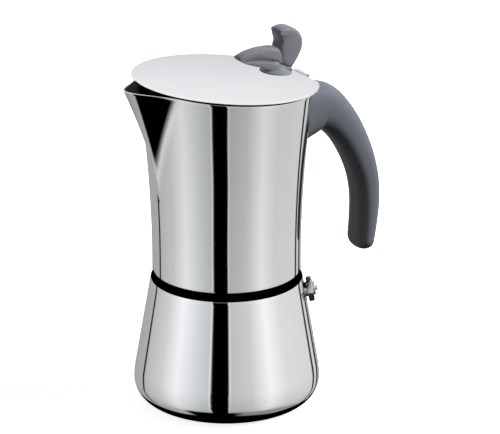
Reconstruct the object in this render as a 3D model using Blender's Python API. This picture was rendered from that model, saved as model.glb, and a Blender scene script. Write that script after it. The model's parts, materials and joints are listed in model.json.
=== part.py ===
"""Stovetop moka pot: boiler, funnel, seal, jug with spout, hinged lid, handle and safety valve.

Frame: origin at the middle of the base, where it stands; +Z up; +X towards the handle; the spout is at -X.
All sizes are in metres. Every piece is its own object, and a moving piece has its origin on its joint.
"""

import math

import bmesh
import bpy
from mathutils import Matrix, Vector

MM = 0.001

# Driving dimensions
CLEARANCE = 0.3 * MM  # between pieces that touch
SEGMENTS = 48  # facets round a turned piece

BOILER_HEIGHT = 69.7 * MM
BOILER_BELLY_RADIUS = 50.05 * MM
BOILER_CORNER_RADIUS = 12.0 * MM
BOILER_TOP_RADIUS = 41.2 * MM
BOILER_SHOULDER_ROUND = 2.6 * MM
BOILER_SOFT_FOOT = 8.0 * MM  # height over which the corner turns into the cone
BOILER_WALL = 1.1 * MM
BOILER_FLOOR = 3.0 * MM

NECK_RADIUS = 35.2 * MM  # at the root of its thread
NECK_WALL = 2.6 * MM
NECK_HEIGHT = 10.0 * MM
THREAD_PITCH = 4.0 * MM
THREAD_DEPTH = 1.2 * MM
THREAD_PLAY = 0.5 * MM  # between one thread's crest and the other's root

FUNNEL_DEPTH = 21.0 * MM
FUNNEL_SHEET = 0.7 * MM
TUBE_RADIUS = 4.0 * MM
TUBE_WALL = 0.7 * MM
TUBE_END_GAP = 5.0 * MM  # from the boiler's floor to the tube's end

GASKET_THICKNESS = 3.5 * MM
GASKET_WIDTH = 6.2 * MM
PLATE_SHEET = 0.8 * MM

JUG_HEIGHT = 106.8 * MM  # from its lower lip to its rim, on the axis
JUG_WAIST_RADIUS = 39.8 * MM
JUG_RIM_RADIUS = 46.7 * MM
JUG_WALL = 1.0 * MM
JUG_FOOT_ROUND = 4.0 * MM
JUG_LIFT = 0.8 * MM  # from the boiler's shoulder to the jug's lower lip
RIM_SLOPE = math.radians(4.9)  # the rim rises towards the spout
SPOUT_REACH = 14.2 * MM  # of the spout's blunt nose beyond the rim
SPOUT_PEAK = 1.34  # its hollow flanks would meet at this many times that reach
SPOUT_CREASE = math.radians(31.0)  # each side of the spout, where its flanks leave the rim
CREASE_CURVE = 1.5  # how the creases close in on the fold
SPOUT_DROP = 58.6 * MM  # height of the fold below the rim
SPOUT_CURVE = 1.45  # how the fold leans out

COLUMN_HEIGHT = 62.0 * MM
COLUMN_FOOT_RADIUS = 9.0 * MM
COLUMN_TOP_RADIUS = 5.5 * MM
COLUMN_WALL = 1.2 * MM

LID_RADIUS = 49.6 * MM
LID_SHEET = 0.8 * MM
LID_DOME = 1.4 * MM
LID_GAP = 1.6 * MM  # lid edge above the jug's rim
LID_SHIFT = -0.5 * MM  # the lid's middle from the jug's axis
CHORD_GAP = 1.35 * MM  # from the knuckles to the lid's straight edge
HINGE_OVERHANG = 0.2 * MM  # axis of the hinge beyond the jug's rim
HINGE_WIDTH = 12.6 * MM
KNUCKLE_RADIUS = 1.25 * MM
KNUCKLE_GAP = 0.35 * MM  # from the knuckles down to the rim
PIN_RADIUS = 0.55 * MM
PIN_PLAY = 0.2 * MM
EAR_SHEET = 1.0 * MM

HANDLE_REACH = 41.2 * MM  # middle of the grip beyond the jug's rim
HANDLE_DROP = 103.7 * MM  # from the rim to the grip's free end
HANDLE_WIDTH = 20.0 * MM
HANDLE_DEPTH = 15.5 * MM
BRACKET_SHEET = 1.6 * MM
BRACKET_WIDTH = 20.0 * MM
BRACKET_HEIGHT = 29.0 * MM
BRACKET_DROP = 3.2 * MM  # its top edge below the rim
TONGUE_LENGTH = 16.0 * MM
TONGUE_THICKNESS = 3.0 * MM
TONGUE_WIDTH = 10.0 * MM
SCREW_RADIUS = 1.6 * MM
SCREW_HEAD_RADIUS = 3.0 * MM
HEAD_DEPTH = 7.0 * MM  # of the screw's head below the tongue
WASHER_RADIUS = 4.2 * MM

KNOB_REACH = 30.3 * MM  # middle of the knob's foot from the lid's middle
KNOB_FOOT_RADIUS = 8.75 * MM
KNOB_HEIGHT = 26.4 * MM  # above the lid's edge
KNOB_WIDTH = 10.0 * MM

VALVE_HEIGHT = 60.6 * MM
VALVE_BEARING = math.radians(-30.0)  # round the boiler from the handle
VALVE_HEX = 12.0 * MM
VALVE_SHANK_RADIUS = 4.0 * MM
VALVE_BORE = 2.9 * MM
VALVE_SEAT_BORE = 1.3 * MM
VALVE_COLLAR_RADIUS = 3.7 * MM
VALVE_COLLAR = 1.1 * MM
VALVE_BODY_START = 1.0 * MM  # hexagon's face, past the wall's curve
VALVE_BODY_END = 4.2 * MM
VALVE_SHANK_END = -8.5 * MM
VALVE_WASHER_START = -1.9 * MM  # inside, past the wall's curve
VALVE_WASHER = 1.0 * MM
VALVE_NUT = 3.0 * MM
VALVE_STEM_RADIUS = 1.3 * MM
VALVE_STEM_OUT = 2.5 * MM  # stem past the hexagon

# Heights and radii that follow
SHOULDER_Z = BOILER_HEIGHT
NECK_TOP = SHOULDER_Z + NECK_HEIGHT
NECK_BORE = NECK_RADIUS - NECK_WALL
THREAD_CREST = NECK_RADIUS + THREAD_DEPTH
RING_CREST = NECK_RADIUS + THREAD_PLAY
RING_ROOT = RING_CREST + THREAD_DEPTH
JUG_FOOT = SHOULDER_Z + JUG_LIFT
RIM_Z = JUG_FOOT + JUG_HEIGHT
FLANGE_BOTTOM = NECK_TOP + CLEARANCE
FLANGE_TOP = FLANGE_BOTTOM + FUNNEL_SHEET
BASKET_RADIUS = NECK_BORE - 2 * CLEARANCE
BASKET_BOTTOM = NECK_TOP - FUNNEL_DEPTH
GASKET_BOTTOM = FLANGE_TOP + CLEARANCE
GASKET_TOP = GASKET_BOTTOM + GASKET_THICKNESS
PLATE_BOTTOM = GASKET_TOP + CLEARANCE
PLATE_TOP = PLATE_BOTTOM + PLATE_SHEET
JUG_FLOOR_BOTTOM = PLATE_TOP + CLEARANCE
JUG_FLOOR_TOP = JUG_FLOOR_BOTTOM + JUG_WALL
COLUMN_BOTTOM = JUG_FLOOR_TOP + CLEARANCE
COLUMN_TOP = COLUMN_BOTTOM + COLUMN_HEIGHT
CONE_HEIGHT = BOILER_HEIGHT - BOILER_SHOULDER_ROUND - BOILER_CORNER_RADIUS
CONE_SLOPE = (BOILER_BELLY_RADIUS - BOILER_TOP_RADIUS) / (CONE_HEIGHT - BOILER_SOFT_FOOT / 2)
SLOPE_TAN = math.tan(RIM_SLOPE)
HINGE_REACH = JUG_RIM_RADIUS + HINGE_OVERHANG
HINGE_RISE = KNUCKLE_RADIUS + KNUCKLE_GAP
LID_CHORD = HINGE_REACH - KNUCKLE_RADIUS - CHORD_GAP  # straight edge of the lid
BRACKET_TOP = RIM_Z - SLOPE_TAN * JUG_RIM_RADIUS - BRACKET_DROP
GRIP_ROOT = BRACKET_HEIGHT + 3.6 * MM  # the grip's root covers the bracket's plate
GRIP_ROOT_WIDTH = BRACKET_WIDTH + 3.0 * MM


def clear_scene():
    for thing in list(bpy.data.objects):
        bpy.data.objects.remove(thing, do_unlink=True)


def material(name, colour, roughness, metallic):
    """The material of this name, made on its first use."""
    found = bpy.data.materials.get(name)
    if found:
        return found
    made = bpy.data.materials.new(name)
    made.use_nodes = True
    shader = made.node_tree.nodes["Principled BSDF"]
    shader.inputs["Base Color"].default_value = (*colour, 1.0)
    shader.inputs["Roughness"].default_value = roughness
    shader.inputs["Metallic"].default_value = metallic
    return made


MATERIALS = {
    "polished_steel": ((0.80, 0.80, 0.81), 0.06, 1.0),
    "brushed_steel": ((0.76, 0.76, 0.77), 0.28, 1.0),
    "nickel": ((0.62, 0.60, 0.56), 0.25, 1.0),
    "soft_plastic": ((0.055, 0.057, 0.062), 0.55, 0.0),
    "gloss_plastic": ((0.03, 0.03, 0.033), 0.22, 0.0),
    "seal_rubber": ((0.72, 0.71, 0.68), 0.6, 0.0),
    "spring_steel": ((0.45, 0.45, 0.46), 0.35, 1.0),
}


def add(name, mesh_data, finish, origin=(0.0, 0.0, 0.0)):
    """An object made from a bmesh in world space, with its origin moved to a joint or a seat."""
    bmesh.ops.recalc_face_normals(mesh_data, faces=mesh_data.faces[:])
    mesh_data.transform(Matrix.Translation(-Vector(origin)))
    mesh = bpy.data.meshes.new(name)
    mesh_data.to_mesh(mesh)
    mesh_data.free()
    mesh.shade_smooth()
    mesh.set_sharp_from_angle(angle=math.radians(35))
    mesh.materials.append(material(finish, *MATERIALS[finish]))
    made = bpy.data.objects.new(name, mesh)
    made.location = origin
    bpy.context.scene.collection.objects.link(made)
    return made


def cutter(name, mesh_data, target, operation="DIFFERENCE"):
    """A hidden shape that a Boolean takes from (or adds to) the target."""
    made = add(name, mesh_data, "spring_steel")
    made.hide_render = True
    made.display_type = "WIRE"
    change = target.modifiers.new(name, "BOOLEAN")
    change.operation = operation
    change.object = made
    return made


def turned(profile, segments=SEGMENTS, place=Matrix()):
    """A bmesh turned from a closed outline of (radius, height) points about Z, then put in place.

    An outline that starts and ends at radius zero closes on the axis.
    """
    made = bmesh.new()
    rings = []
    for radius, height in profile:
        if radius < 1e-9:
            rings.append([made.verts.new((0.0, 0.0, height))])
            continue
        ring = []
        for step in range(segments):
            turn = math.tau * step / segments
            ring.append(made.verts.new((radius * math.cos(turn), radius * math.sin(turn), height)))
        rings.append(ring)
    closed = len(rings[0]) > 1
    pairs = list(zip(rings, rings[1:] + rings[:1])) if closed else list(zip(rings, rings[1:]))
    for lower, upper in pairs:
        bridge(made, lower, upper, segments)
    made.transform(place)
    return made


def bridge(mesh_data, lower, upper, count):
    """Faces between two closed rings, either of which may be a single point."""
    for step in range(count):
        after = (step + 1) % count
        corners = [lower[step % len(lower)], lower[after % len(lower)]]
        corners += [upper[after % len(upper)], upper[step % len(upper)]]
        unique = list(dict.fromkeys(corners))
        if len(unique) > 2:
            mesh_data.faces.new(unique)


def loft(rings, place=Matrix()):
    """A closed body through rings of points, with flat ends."""
    made = bmesh.new()
    loops = [[made.verts.new(point) for point in ring] for ring in rings]
    for lower, upper in zip(loops, loops[1:]):
        bridge(made, lower, upper, len(lower))
    made.faces.new(list(reversed(loops[0])))
    made.faces.new(loops[-1])
    made.transform(place)
    return made


def extruded(outline, low, high, axis="Y"):
    """A flat outline pushed from low to high; for axis Y its points are (x, z), for Z they are (x, y)."""
    if axis == "Y":
        rings = [[(x, level, z) for x, z in outline] for level in (low, high)]
    else:
        rings = [[(x, y, level) for x, y in outline] for level in (low, high)]
    return loft(rings)


def arc(centre, radius, start, end, steps):
    """Points on an arc, in degrees from the first axis, ends included."""
    points = []
    for step in range(steps + 1):
        turn = math.radians(start + (end - start) * step / steps)
        points.append((centre[0] + radius * math.cos(turn), centre[1] + radius * math.sin(turn)))
    return points


def hexagon(across_flats):
    corner = across_flats / math.sqrt(3.0)
    return [(x, y) for x, y in arc((0.0, 0.0), corner, 0.0, 300.0, 5)]


def catmull(points, steps):
    """A smooth curve through points, with this many steps between neighbours."""
    ends = [points[0]] + list(points) + [points[-1]]
    curve = []
    for before, start, end, after in zip(ends, ends[1:], ends[2:], ends[3:]):
        for step in range(steps):
            t = step / steps
            curve.append(tuple(
                0.5 * (2 * b + (c - a) * t + (2 * a - 5 * b + 4 * c - d) * t * t
                       + (3 * b - a - 3 * c + d) * t ** 3)
                for a, b, c, d in zip(before, start, end, after)))
    curve.append(tuple(points[-1]))
    return curve


# Boiler

def boiler_cone(height):
    """Outer radius of the boiler above its corner: a cone with a soft foot."""
    lift = height - BOILER_CORNER_RADIUS
    if lift < BOILER_SOFT_FOOT:
        return BOILER_BELLY_RADIUS - CONE_SLOPE * lift * lift / (2 * BOILER_SOFT_FOOT)
    return BOILER_BELLY_RADIUS - CONE_SLOPE * (lift - BOILER_SOFT_FOOT / 2)


def boiler_outline():
    corner = BOILER_CORNER_RADIUS
    centre = BOILER_BELLY_RADIUS - corner
    outer = arc((centre, corner), corner, -90.0, 0.0, 6)
    shoulder = SHOULDER_Z - BOILER_SHOULDER_ROUND
    heights = [corner + share * (shoulder - corner) for share in (0.06, 0.12, 0.5, 1.0)]
    outer += [(boiler_cone(z), z) for z in heights]
    edge = boiler_cone(shoulder) - BOILER_SHOULDER_ROUND
    outer += arc((edge, shoulder), BOILER_SHOULDER_ROUND, 30.0, 90.0, 2)
    mouth = NECK_BORE + 1.4 * MM
    under = SHOULDER_Z - BOILER_WALL
    inner = [(mouth, SHOULDER_Z), (mouth, under), (edge, under)]
    inner += [(boiler_cone(z) - BOILER_WALL, z) for z in (shoulder, heights[2], heights[0])]
    inner += arc((centre, corner), corner - BOILER_FLOOR, 0.0, -90.0, 4)[1:]
    return [(0.0, 0.0)] + outer + inner + [(0.0, BOILER_FLOOR)]


def make_boiler():
    shell = add("boiler_shell", turned(boiler_outline()), "polished_steel")
    hole = turned([(0.0, -6 * MM), (VALVE_SHANK_RADIUS + CLEARANCE, -6 * MM),
                   (VALVE_SHANK_RADIUS + CLEARANCE, 6 * MM), (0.0, 6 * MM)], 16, valve_place())
    cutter("valve_hole", hole, shell)


def helix_ridge(root, crest, low, high, inward=False):
    """A trapezoid thread ridge that runs up Z, sunk a little into its wall at the root."""
    sink = 0.35 * MM
    sign = -1.0 if inward else 1.0
    base = root - sign * sink
    half_base, half_crest = THREAD_PITCH * 0.17, THREAD_PITCH * 0.09
    turns = (high - low - 2 * half_base) / THREAD_PITCH
    steps = int(turns * SEGMENTS)
    rings = []
    for step in range(steps + 1):
        ramp = min(1.0, step / 4.0, (steps - step) / 4.0)
        top = base + (crest - base) * max(ramp, 0.05)
        turn = math.tau * step / SEGMENTS
        middle = low + half_base + THREAD_PITCH * step / SEGMENTS
        section = [(base, middle - half_base), (top, middle - half_crest),
                   (top, middle + half_crest), (base, middle + half_base)]
        rings.append([(r * math.cos(turn), r * math.sin(turn), z) for r, z in section])
    return loft(rings)


def make_neck():
    seat = SHOULDER_Z + CLEARANCE
    spigot = NECK_BORE + 1.4 * MM - CLEARANCE
    outline = [(NECK_BORE, NECK_TOP), (NECK_RADIUS, NECK_TOP), (NECK_RADIUS, seat),
               (spigot, seat), (spigot, SHOULDER_Z - 1.4 * BOILER_WALL),
               (NECK_BORE, SHOULDER_Z - 1.4 * BOILER_WALL)]
    neck = add("boiler_neck", turned(outline), "brushed_steel")
    ridge = helix_ridge(NECK_RADIUS, THREAD_CREST, seat + 0.8 * MM, NECK_TOP - 0.6 * MM)
    cutter("neck_thread", ridge, neck, "UNION")


# Safety valve: its own axis w runs outwards, square to the boiler's wall

def valve_place():
    radius = boiler_cone(VALVE_HEIGHT)
    slope = math.atan(boiler_cone(VALVE_HEIGHT - MM) / MM - boiler_cone(VALVE_HEIGHT) / MM)
    out = Vector((math.cos(VALVE_BEARING), math.sin(VALVE_BEARING), 0.0))
    normal = (out * math.cos(slope) + Vector((0, 0, math.sin(slope)))).normalized()
    seat = out * radius + Vector((0, 0, VALVE_HEIGHT))
    return Matrix.Translation(seat) @ normal.to_track_quat("Z", "X").to_matrix().to_4x4()


def make_valve():
    place = valve_place()
    at = place.translation
    inside = VALVE_SHANK_END
    flats = VALVE_HEX / 2
    crown = VALVE_BODY_END + VALVE_COLLAR
    waist = flats - 0.3 * MM
    body = turned([(VALVE_SEAT_BORE, inside), (VALVE_SHANK_RADIUS, inside),
                   (VALVE_SHANK_RADIUS, VALVE_BODY_START), (waist, VALVE_BODY_START),
                   (waist, VALVE_BODY_END - 0.3 * MM),
                   (VALVE_COLLAR_RADIUS + 0.5 * MM, VALVE_BODY_END),
                   (VALVE_COLLAR_RADIUS, VALVE_BODY_END), (VALVE_COLLAR_RADIUS, crown),
                   (VALVE_BORE, crown), (VALVE_BORE, inside + 2.0 * MM),
                   (VALVE_SEAT_BORE, inside + 2.0 * MM)], 16, place)
    body = add("valve_body", body, "nickel", at)
    corners = extruded(hexagon(VALVE_HEX), VALVE_BODY_START + 0.2 * MM, VALVE_BODY_END - 0.6 * MM, "Z")
    bore = turned([(0.0, VALVE_BODY_START - MM), (VALVE_BORE + 0.5 * MM, VALVE_BODY_START - MM),
                   (VALVE_BORE + 0.5 * MM, VALVE_BODY_END + MM), (0.0, VALVE_BODY_END + MM)], 16)
    ring = cutter("valve_hexagon", corners, body, "UNION")
    bored = cutter("valve_hexagon_bore", bore, ring)
    ring.matrix_world = place
    bored.matrix_world = place

    shank = VALVE_SHANK_RADIUS + CLEARANCE
    low = VALVE_WASHER_START - VALVE_WASHER
    washer = [(shank, low), (5.6 * MM, low), (5.6 * MM, VALVE_WASHER_START), (shank, VALVE_WASHER_START)]
    add("valve_washer", turned(washer, 24, place), "seal_rubber", at)

    top = low - CLEARANCE
    flat = [[(x, y, z) for x, y in hexagon(VALVE_HEX - MM)] for z in (top - VALVE_NUT, top)]
    nut = add("valve_nut", loft(flat, place), "nickel", at)
    through = [(0.0, top - 2 * VALVE_NUT), (shank, top - 2 * VALVE_NUT), (shank, MM), (0.0, MM)]
    cutter("valve_nut_bore", turned(through, 16, place), nut)

    head = inside + 2.0 * MM + CLEARANCE
    stem = VALVE_STEM_RADIUS
    pin = turned([(0.0, head), (VALVE_BORE - CLEARANCE, head), (VALVE_BORE - CLEARANCE, head + 1.2 * MM),
                  (stem, head + 1.2 * MM), (stem, VALVE_BODY_END + VALVE_STEM_OUT - 0.4 * MM),
                  (stem - 0.4 * MM, VALVE_BODY_END + VALVE_STEM_OUT),
                  (0.0, VALVE_BODY_END + VALVE_STEM_OUT)], 12, place)
    add("valve_pin", pin, "nickel", at)

    retainer = [(stem + CLEARANCE, crown - 1.0 * MM), (VALVE_BORE - 0.1 * MM, crown - 1.0 * MM),
                (VALVE_BORE - 0.1 * MM, crown - 0.2 * MM), (stem + CLEARANCE, crown - 0.2 * MM)]
    add("valve_retainer", turned(retainer, 16, place), "nickel", at)

    low, high = head + 1.2 * MM + CLEARANCE, crown - 1.0 * MM - CLEARANCE
    wire = 0.3 * MM
    middle = (stem + VALVE_BORE) / 2
    add("valve_spring", coil(middle, wire, low, high, 5, 10, 6, place), "spring_steel", at)


def coil(radius, wire, low, high, turns, steps, sides, place):
    """A helical spring with flat-cut ends."""
    rings = []
    total = turns * steps
    for step in range(total + 1):
        turn = math.tau * step / steps
        height = low + wire + (high - low - 2 * wire) * step / total
        ring = []
        for side in range(sides):
            roll = math.tau * side / sides
            reach = radius + wire * math.cos(roll)
            ring.append((reach * math.cos(turn), reach * math.sin(turn), height + wire * math.sin(roll)))
        rings.append(ring)
    return loft(rings, place)


# Funnel

def perforated(name, outer, low, high, rings, hole, finish):
    """A thin disc with rings of small holes: rings holds (radius, count)."""
    disc = add(name, turned([(0.0, low), (outer, low), (outer, high), (0.0, high)]), finish)
    holes = bmesh.new()
    for radius, count in rings:
        for step in range(count):
            turn = math.tau * (step + 0.5) / count
            spot = Matrix.Translation((radius * math.cos(turn), radius * math.sin(turn), (low + high) / 2))
            bmesh.ops.create_cone(holes, cap_ends=True, cap_tris=False, segments=6, radius1=hole,
                                  radius2=hole, depth=4 * (high - low), matrix=spot)
    cutter(name + "_holes", holes, disc)
    return disc


def make_funnel():
    sheet = FUNNEL_SHEET
    collar = TUBE_RADIUS + CLEARANCE
    collar_top = BASKET_BOTTOM - 9.0 * MM
    collar_bottom = collar_top - 6.0 * MM
    floor = BASKET_BOTTOM
    flange = (NECK_BORE + NECK_RADIUS) / 2 + 0.9 * MM
    outline = [(flange, FLANGE_BOTTOM), (flange, FLANGE_TOP), (BASKET_RADIUS - sheet, FLANGE_TOP),
               (BASKET_RADIUS - sheet, floor), (BASKET_RADIUS - 4 * sheet, floor - 1.2 * sheet),
               (collar, collar_top), (collar, collar_bottom), (collar + sheet, collar_bottom),
               (collar + sheet, collar_top - 0.6 * sheet),
               (BASKET_RADIUS - 3.6 * sheet, floor - 2.4 * sheet), (BASKET_RADIUS, floor - sheet),
               (BASKET_RADIUS, FLANGE_BOTTOM)]
    add("funnel_basket", turned(outline, 40), "brushed_steel")
    end = BOILER_FLOOR + TUBE_END_GAP
    tube = [(TUBE_RADIUS - TUBE_WALL, end), (TUBE_RADIUS, end), (TUBE_RADIUS, collar_top - 0.5 * MM),
            (TUBE_RADIUS - TUBE_WALL, collar_top - 0.5 * MM)]
    add("funnel_tube", turned(tube, 20), "brushed_steel")
    low = floor + CLEARANCE
    perforated("basket_sieve", BASKET_RADIUS - sheet - CLEARANCE, low, low + PLATE_SHEET,
               [(6 * MM, 6), (13 * MM, 10), (20 * MM, 14)], 0.9 * MM, "brushed_steel")


# Seal

def make_seal():
    outer = flange_radius()
    inner = outer - GASKET_WIDTH
    bevel = 0.5 * MM
    outline = [(inner, GASKET_BOTTOM), (outer - bevel, GASKET_BOTTOM), (outer, GASKET_BOTTOM + bevel),
               (outer, GASKET_TOP - bevel), (outer - bevel, GASKET_TOP), (inner, GASKET_TOP)]
    add("gasket", turned(outline), "seal_rubber")
    perforated("filter_plate", outer, PLATE_BOTTOM, PLATE_TOP,
               [(6 * MM, 6), (13 * MM, 10), (20 * MM, 14)], 0.9 * MM, "brushed_steel")


def flange_radius():
    return RING_CREST - CLEARANCE


# Jug

def jug_radius(height):
    """Outer radius of the jug's wall: a waist that flares to the rim."""
    waist = JUG_FOOT + 9.0 * MM
    share = max(0.0, height - waist) / (RIM_Z - waist)
    return JUG_WAIST_RADIUS + (JUG_RIM_RADIUS - JUG_WAIST_RADIUS) * share * share


def spout_share(height):
    """How far up the spout this height is: 0 at the foot of its fold and 1 at its tip."""
    base = RIM_Z - SPOUT_DROP
    top = RIM_Z + SLOPE_TAN * (JUG_RIM_RADIUS + SPOUT_REACH)
    return max(0.0, (height - base) / (top - base))


def jug_reach(height, bearing, inset=0.0):
    """Distance of the jug's wall from the axis: round, with hollow flanks up to the spout's blunt nose."""
    radius = jug_radius(height) - inset
    share = spout_share(height)
    if share <= 0.0:
        return radius
    off_axis = abs(math.remainder(bearing - math.pi, math.tau))
    nearness = max(0.0, 1 - off_axis / (SPOUT_CREASE * share ** CREASE_CURVE))
    return radius + SPOUT_REACH * share ** SPOUT_CURVE * min(1.0, SPOUT_PEAK * nearness ** 2)


def rim_height(bearing, inset=0.0):
    """Height of the rim over the wall at this bearing: a sloping plane."""
    height = RIM_Z
    for _ in range(6):
        height = RIM_Z - SLOPE_TAN * jug_reach(height, bearing, inset) * math.cos(bearing)
    return height


def make_jug_shell():
    wall = JUG_WALL
    foot = JUG_FOOT_ROUND
    centre = (JUG_WAIST_RADIUS - foot, JUG_FOOT + foot)
    lip = -58.0
    outer_foot = arc(centre, foot, lip, 0.0, 3)
    inner_foot = arc(centre, foot - wall, 0.0, lip, 2)
    made = bmesh.new()

    def ring(points):
        return [made.verts.new(point) for point in points]

    def level(inset, share):
        points = []
        for step in range(SEGMENTS):
            turn = math.tau * step / SEGMENTS
            low = JUG_FOOT + foot
            height = low + (rim_height(turn, inset) - low) * share
            reach = jug_reach(height, turn, inset)
            points.append((reach * math.cos(turn), reach * math.sin(turn), height))
        return points

    def round_level(radius, height):
        turns = [math.tau * step / SEGMENTS for step in range(SEGMENTS)]
        return [(radius * math.cos(turn), radius * math.sin(turn), height) for turn in turns]

    rings = [ring(round_level(r, z)) for r, z in outer_foot]
    shares = (0.22, 0.42, 0.52, 0.62, 0.72, 0.82, 0.91, 1.0)
    rings += [ring(level(0.0, share)) for share in shares]
    rings += [ring(level(wall, share)) for share in (1.0, 0.91, 0.82, 0.72, 0.62, 0.52, 0.42, 0.1)]
    rings += [ring(round_level(r, z)) for r, z in inner_foot]
    for lower, upper in zip(rings, rings[1:] + rings[:1]):
        bridge(made, lower, upper, SEGMENTS)
    return add("jug_shell", made, "polished_steel")


def make_jug_inside():
    inner = jug_radius(JUG_FLOOR_BOTTOM) - JUG_WALL - CLEARANCE
    bore = COLUMN_FOOT_RADIUS - COLUMN_WALL
    floor = [(bore, JUG_FLOOR_BOTTOM), (inner, JUG_FLOOR_BOTTOM), (inner, JUG_FLOOR_TOP),
             (bore, JUG_FLOOR_TOP)]
    add("jug_floor", turned(floor), "brushed_steel")

    low = JUG_FOOT + 2.2 * MM
    high = JUG_FLOOR_BOTTOM - CLEARANCE
    outer = jug_radius(low) - JUG_WALL - CLEARANCE
    chamfer = JUG_FOOT_ROUND - 2.2 * MM
    ring = [(RING_ROOT, low), (outer - chamfer * 0.55, low), (outer, low + chamfer), (outer, high),
            (RING_ROOT, high)]
    ring = add("jug_ring", turned(ring), "brushed_steel")
    start = SHOULDER_Z + CLEARANCE + 0.8 * MM
    first = start + THREAD_PITCH / 2
    ridge = helix_ridge(RING_ROOT, RING_CREST, first, first + 1.9 * THREAD_PITCH, inward=True)
    cutter("ring_thread", ridge, ring, "UNION")

    foot, top, wall = COLUMN_FOOT_RADIUS, COLUMN_TOP_RADIUS, COLUMN_WALL
    shaft = [(foot - wall, COLUMN_BOTTOM), (foot + 1.5 * MM, COLUMN_BOTTOM),
             (foot, COLUMN_BOTTOM + 3 * MM), (top, COLUMN_TOP), (top - wall, COLUMN_TOP)]
    shaft = add("riser_column", turned(shaft, 24), "brushed_steel")
    slots = bmesh.new()
    for across in ((12 * MM, 1.6 * MM), (1.6 * MM, 12 * MM)):
        size = Matrix.Diagonal((*across, 5 * MM, 1.0))
        spot = Matrix.Translation((0, 0, COLUMN_TOP - 5.5 * MM))
        bmesh.ops.create_cube(slots, size=1.0, matrix=spot @ size)
    cutter("column_slots", slots, shaft)
    crown = COLUMN_TOP + CLEARANCE
    cap = [(0.0, crown), (top + 1.2 * MM, crown), (top + 1.2 * MM, crown + 1.4 * MM),
           (top * 0.7, crown + 3.4 * MM), (0.0, crown + 4.2 * MM)]
    add("column_cap", turned(cap, 24), "brushed_steel")


# Lid: its own frame has x along the rim's slope and h square to the rim plane

def rim_place():
    return Matrix.Translation((0, 0, RIM_Z)) @ Matrix.Rotation(RIM_SLOPE, 4, "Y")


def hinge_place():
    return rim_place() @ Matrix.Translation((HINGE_REACH, 0, HINGE_RISE))


def dome(radius):
    """Height of the lid's top above the rim plane."""
    return LID_GAP + LID_SHEET + LID_DOME * (1 - (radius / LID_RADIUS) ** 2)


def make_lid():
    hinge = hinge_place().translation
    radii = [LID_RADIUS * share for share in (0.25, 0.5, 0.75, 0.9)]
    edge = LID_RADIUS - 0.3 * MM
    top = [(radius, dome(radius)) for radius in radii] + [(edge, dome(LID_RADIUS))]
    rim = [(LID_RADIUS, dome(LID_RADIUS) - 0.3 * MM), (LID_RADIUS, LID_GAP + 0.2 * MM), (edge, LID_GAP)]
    under = [(radius, dome(radius) - LID_SHEET) for radius in reversed(radii)]
    outline = [(0.0, dome(0.0))] + top + rim + under + [(0.0, dome(0.0) - LID_SHEET)]
    middle = rim_place() @ Matrix.Translation((LID_SHIFT, 0, 0))
    lid = add("lid_shell", turned(outline, SEGMENTS, middle), "brushed_steel", hinge)
    block = bmesh.new()
    size = Matrix.Diagonal((20 * MM, 3 * LID_RADIUS, 20 * MM, 1.0))
    spot = Matrix.Translation((LID_CHORD + 10 * MM, 0, 0))
    bmesh.ops.create_cube(block, size=1.0, matrix=rim_place() @ spot @ size)
    cutter("lid_chord", block, lid)
    screw_room = turned([(0.0, -5 * MM), (SCREW_RADIUS + CLEARANCE, -5 * MM),
                         (SCREW_RADIUS + CLEARANCE, 9 * MM), (0.0, 9 * MM)], 12, knob_place())
    cutter("lid_screw_hole", screw_room, lid)


def make_hinge():
    hinge = hinge_place()
    at = hinge.translation
    knuckle = HINGE_WIDTH / 3
    gap = CLEARANCE
    bore = PIN_RADIUS + PIN_PLAY
    # The leaf lies under the lid, runs out over the rim and curls round the pin.
    sheet = 0.8 * MM
    under = dome(LID_CHORD) - LID_SHEET - CLEARANCE
    back = KNOB_REACH + WASHER_RADIUS + MM
    path = [(back, dome(back) - LID_SHEET - CLEARANCE), (LID_CHORD - 2.2 * MM, under - 0.15 * MM),
            (HINGE_REACH - KNUCKLE_RADIUS / 2, under - 0.15 * MM)]
    lower = [(x, h - sheet) for x, h in reversed(path)]
    half_leaf = knuckle / 2 - gap
    leaf = extruded(path + lower, -half_leaf, half_leaf)
    leaf.transform(rim_place())
    leaf = add("lid_leaf", leaf, "brushed_steel", at)
    across = Matrix.Rotation(math.radians(90), 4, "X")
    roll = turned([(0.0, -knuckle / 2 + gap / 2), (KNUCKLE_RADIUS, -knuckle / 2 + gap / 2),
                   (KNUCKLE_RADIUS, knuckle / 2 - gap / 2), (0.0, knuckle / 2 - gap / 2)],
                  16, hinge @ across)
    cutter("leaf_knuckle", roll, leaf, "UNION")
    hole = turned([(0.0, -HINGE_WIDTH), (bore, -HINGE_WIDTH), (bore, HINGE_WIDTH), (0.0, HINGE_WIDTH)],
                  12, hinge @ across)
    cutter("leaf_bore", hole, leaf)
    half = HINGE_WIDTH / 2 + 0.4 * MM
    pin = turned([(0.0, -half), (PIN_RADIUS, -half), (PIN_RADIUS, half), (0.0, half)], 12,
                 hinge @ across)
    add("hinge_pin", pin, "nickel", at)


# Handle

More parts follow.
